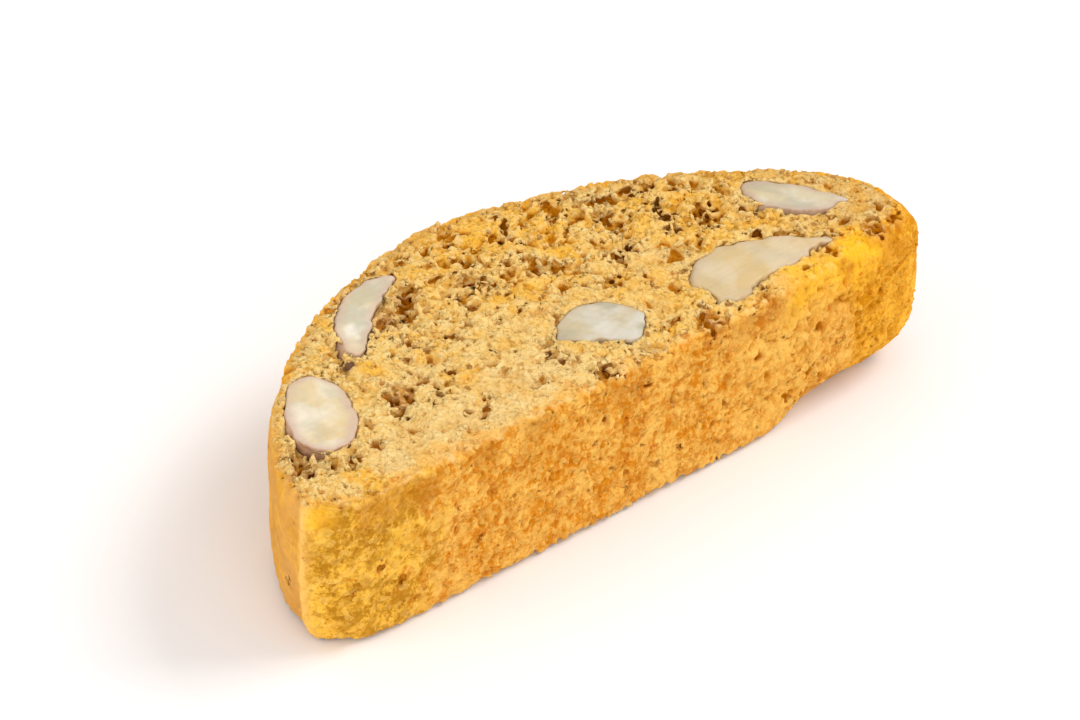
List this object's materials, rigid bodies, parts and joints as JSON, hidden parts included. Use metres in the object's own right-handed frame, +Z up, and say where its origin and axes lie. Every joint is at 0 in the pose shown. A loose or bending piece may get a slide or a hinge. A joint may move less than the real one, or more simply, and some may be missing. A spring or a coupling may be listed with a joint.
{
  "type": "almond biscotto",
  "caption": "Twice-baked almond biscuit: a slice of a low domed loaf with a flat rough underside, porous crumb on its cut faces, and almonds cut through.",
  "frame": {"origin": "middle of the biscuit's box, on the surface that it lies on", "axes": "+X along the slice, -Y the loaf's flat underside and +Y its dome, +Z up through the slice's thickness, out of the upper cut face"},
  "size_m": [0.0864, 0.0308, 0.0191],
  "materials": {
    "crumb": "dry, matt baked crumb and crust",
    "almond": "dull, waxy cut almond"
  },
  "bodies": {
    "root": {"biscuit": "crumb", "almond_1": "almond", "almond_2": "almond", "almond_3": "almond", "almond_4": "almond", "almond_5": "almond", "almond_6": "almond", "almond_7": "almond", "almond_8": "almond"}
  },
  "joints": []
}
